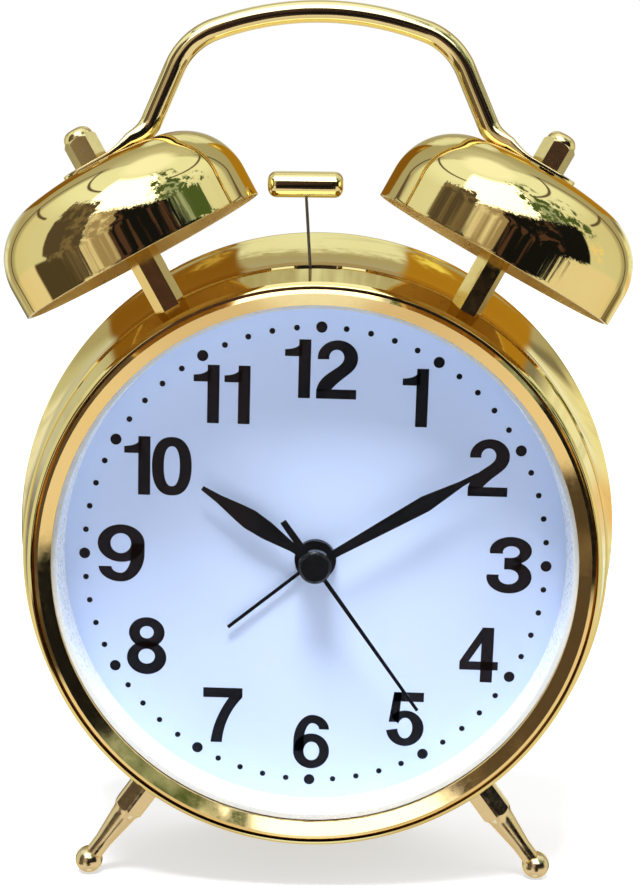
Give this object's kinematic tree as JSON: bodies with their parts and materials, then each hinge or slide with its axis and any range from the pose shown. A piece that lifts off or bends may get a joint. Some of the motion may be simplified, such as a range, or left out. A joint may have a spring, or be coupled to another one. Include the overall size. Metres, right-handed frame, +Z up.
{
  "type": "alarm clock",
  "caption": "Round twin-bell alarm clock with a handle, a hammer between the bells, ball feet, a white dial and separate black hands.",
  "frame": {"origin": "on the table under the middle of the clock's overall box", "axes": "+X to the right seen from the front, +Y from the dial towards the back, +Z up"},
  "size_m": [0.1226, 0.0632, 0.164],
  "materials": {
    "gold_case": "bright gold plating, polished",
    "gold_bezel": "bright gold plating, polished",
    "gold_bells": "bright gold plating, polished",
    "gold_posts": "bright gold plating, polished",
    "gold_nuts": "bright gold plating, polished",
    "gold_handle": "bright gold plating, polished",
    "gold_feet": "bright gold plating, polished",
    "gold_hammer": "bright gold plating, polished",
    "clear_lens": "clear, polished",
    "white_ring": "white, satin",
    "white_dial": "white, matt",
    "dark_plastic": "black moulded plastic",
    "cover_plastic": "black moulded plastic, fine grain",
    "lid_plastic": "black moulded plastic, fine grain",
    "knob_plastic": "black moulded plastic, gloss",
    "switch_plastic": "red moulded plastic",
    "hand_black": "black paint, satin",
    "gear_white": "natural moulded plastic",
    "gear_red": "coloured moulded plastic",
    "steel_wire": "plain steel",
    "steel_screws": "zinc plated",
    "motor_steel": "plain steel can",
    "copper_coil": "enamelled copper wire",
    "stator_steel": "plain steel sheet",
    "contact_steel": "nickel plated",
    "cell_sleeve": "printed film sleeve, bare",
    "board_green": "lacquered board",
    "crystal_can": "plain metal can"
  },
  "bodies": {
    "clock": {"case_shell": "gold_case", "bezel_ring": "gold_bezel", "lens": "clear_lens", "inner_ring": "white_ring", "dial_plate": "white_dial", "chassis": "dark_plastic", "back_cover": "cover_plastic", "cover_screws": "steel_screws", "battery_cells": "cell_sleeve", "battery_contacts": "contact_steel", "bell_left": "gold_bells", "bell_right": "gold_bells", "bell_post_left": "gold_posts", "bell_post_right": "gold_posts", "acorn_nut_left": "gold_nuts", "acorn_nut_right": "gold_nuts", "foot_left": "gold_feet", "foot_right": "gold_feet", "post_screws": "steel_screws", "foot_nuts": "steel_screws", "handle": "gold_handle", "hammer_pivot_pin": "steel_screws", "hammer_motor": "motor_steel", "movement_front": "dark_plastic", "middle_plate": "dark_plastic", "movement_back": "dark_plastic", "movement_screws": "steel_screws", "stator": "stator_steel", "coil": "copper_coil", "circuit_board": "board_green", "quartz_crystal": "crystal_can", "switch_housing": "dark_plastic"},
    "seconds": {"second_wheel": "gear_white", "second_hand": "hand_black"},
    "drive": {"drive_wheel": "gear_red"},
    "rotor_body": {"rotor": "gear_white"},
    "third": {"third_wheel": "gear_red"},
    "centre": {"centre_wheel": "gear_white"},
    "minutes": {"minute_tube": "gear_white", "minute_hand": "hand_black"},
    "motion_wheel": {"minute_wheel": "gear_red"},
    "hours": {"hour_wheel": "gear_white", "hour_hand": "hand_black"},
    "time_setting": {"time_knob": "knob_plastic", "time_set_pinion": "gear_white"},
    "alarm": {"alarm_wheel": "gear_red", "alarm_hand": "hand_black"},
    "alarm_setting": {"alarm_knob": "knob_plastic", "alarm_set_pinion": "gear_white"},
    "hammer": {"hammer_head": "gold_hammer", "hammer_wire": "steel_wire", "hammer_lever": "gear_white"},
    "hammer_cam": {"motor_cam": "gear_white"},
    "switch": {"alarm_switch": "switch_plastic"},
    "lid": {"battery_lid": "lid_plastic"}
  },
  "joints": [
    {"name": "second_spin", "type": "hinge", "parent": "clock", "child": "seconds", "pos_m": [0, -0.00465, 0.06265], "axis": [0, 1, 0], "continuous": true},
    {"name": "drive_wheel_spin", "type": "hinge", "parent": "clock", "child": "drive", "pos_m": [0.00504, -0.00465, 0.05392], "axis": [0, 1, 0], "continuous": true},
    {"name": "rotor_spin", "type": "hinge", "parent": "clock", "child": "rotor_body", "pos_m": [0.01213, -0.00465, 0.05267], "axis": [0, 1, 0], "continuous": true},
    {"name": "third_wheel_spin", "type": "hinge", "parent": "clock", "child": "third", "pos_m": [0, -0.00465, 0.07284], "axis": [0, 1, 0], "continuous": true},
    {"name": "centre_wheel_spin", "type": "hinge", "parent": "clock", "child": "centre", "pos_m": [0, -0.00465, 0.06265], "axis": [0, 1, 0], "continuous": true},
    {"name": "minute_spin", "type": "hinge", "parent": "clock", "child": "minutes", "pos_m": [0, -0.00465, 0.06265], "axis": [0, 1, 0], "continuous": true},
    {"name": "motion_wheel_spin", "type": "hinge", "parent": "clock", "child": "motion_wheel", "pos_m": [-0.00771, -0.00465, 0.07184], "axis": [0, 1, 0], "continuous": true},
    {"name": "hour_spin", "type": "hinge", "parent": "clock", "child": "hours", "pos_m": [0, -0.00465, 0.06265], "axis": [0, 1, 0], "continuous": true},
    {"name": "time_knob_spin", "type": "hinge", "parent": "clock", "child": "time_setting", "pos_m": [-0.01182, -0.00465, 0.06056], "axis": [0, 1, 0], "continuous": true},
    {"name": "alarm_spin", "type": "hinge", "parent": "clock", "child": "alarm", "pos_m": [0, -0.00465, 0.06265], "axis": [0, 1, 0], "continuous": true},
    {"name": "alarm_knob_spin", "type": "hinge", "parent": "clock", "child": "alarm_setting", "pos_m": [0.01182, -0.00465, 0.06056], "axis": [0, 1, 0], "continuous": true},
    {"name": "hammer_swing", "type": "hinge", "parent": "clock", "child": "hammer", "pos_m": [0, 0.00075, 0.09534], "axis": [0, 1, 0], "range_deg": [-2.5, 10]},
    {"name": "hammer_motor_spin", "type": "hinge", "parent": "clock", "child": "hammer_cam", "pos_m": [0.0083, -0.00465, 0.09534], "axis": [0, 1, 0], "continuous": true},
    {"name": "alarm_switch_slide", "type": "slide", "parent": "clock", "child": "switch", "axis": [1, 0, 0], "range_m": [0, 0.004]},
    {"name": "battery_lid_hinge", "type": "hinge", "parent": "clock", "child": "lid", "pos_m": [0, 0.02345, 0.01515], "axis": [-1, 0, 0], "range_deg": [0, 75]}
  ],
  "couplings": [
    {"joint": "drive_wheel_spin", "follows": "second_spin", "ratio": -6},
    {"joint": "rotor_spin", "follows": "second_spin", "ratio": 30},
    {"joint": "third_wheel_spin", "follows": "second_spin", "ratio": -0.13333},
    {"joint": "centre_wheel_spin", "follows": "second_spin", "ratio": 0.016667},
    {"joint": "motion_wheel_spin", "follows": "minute_spin", "ratio": -0.33333},
    {"joint": "hour_spin", "follows": "minute_spin", "ratio": 0.083333},
    {"joint": "time_knob_spin", "follows": "minute_spin", "ratio": 1},
    {"joint": "alarm_knob_spin", "follows": "alarm_spin", "ratio": -4}
  ]
}
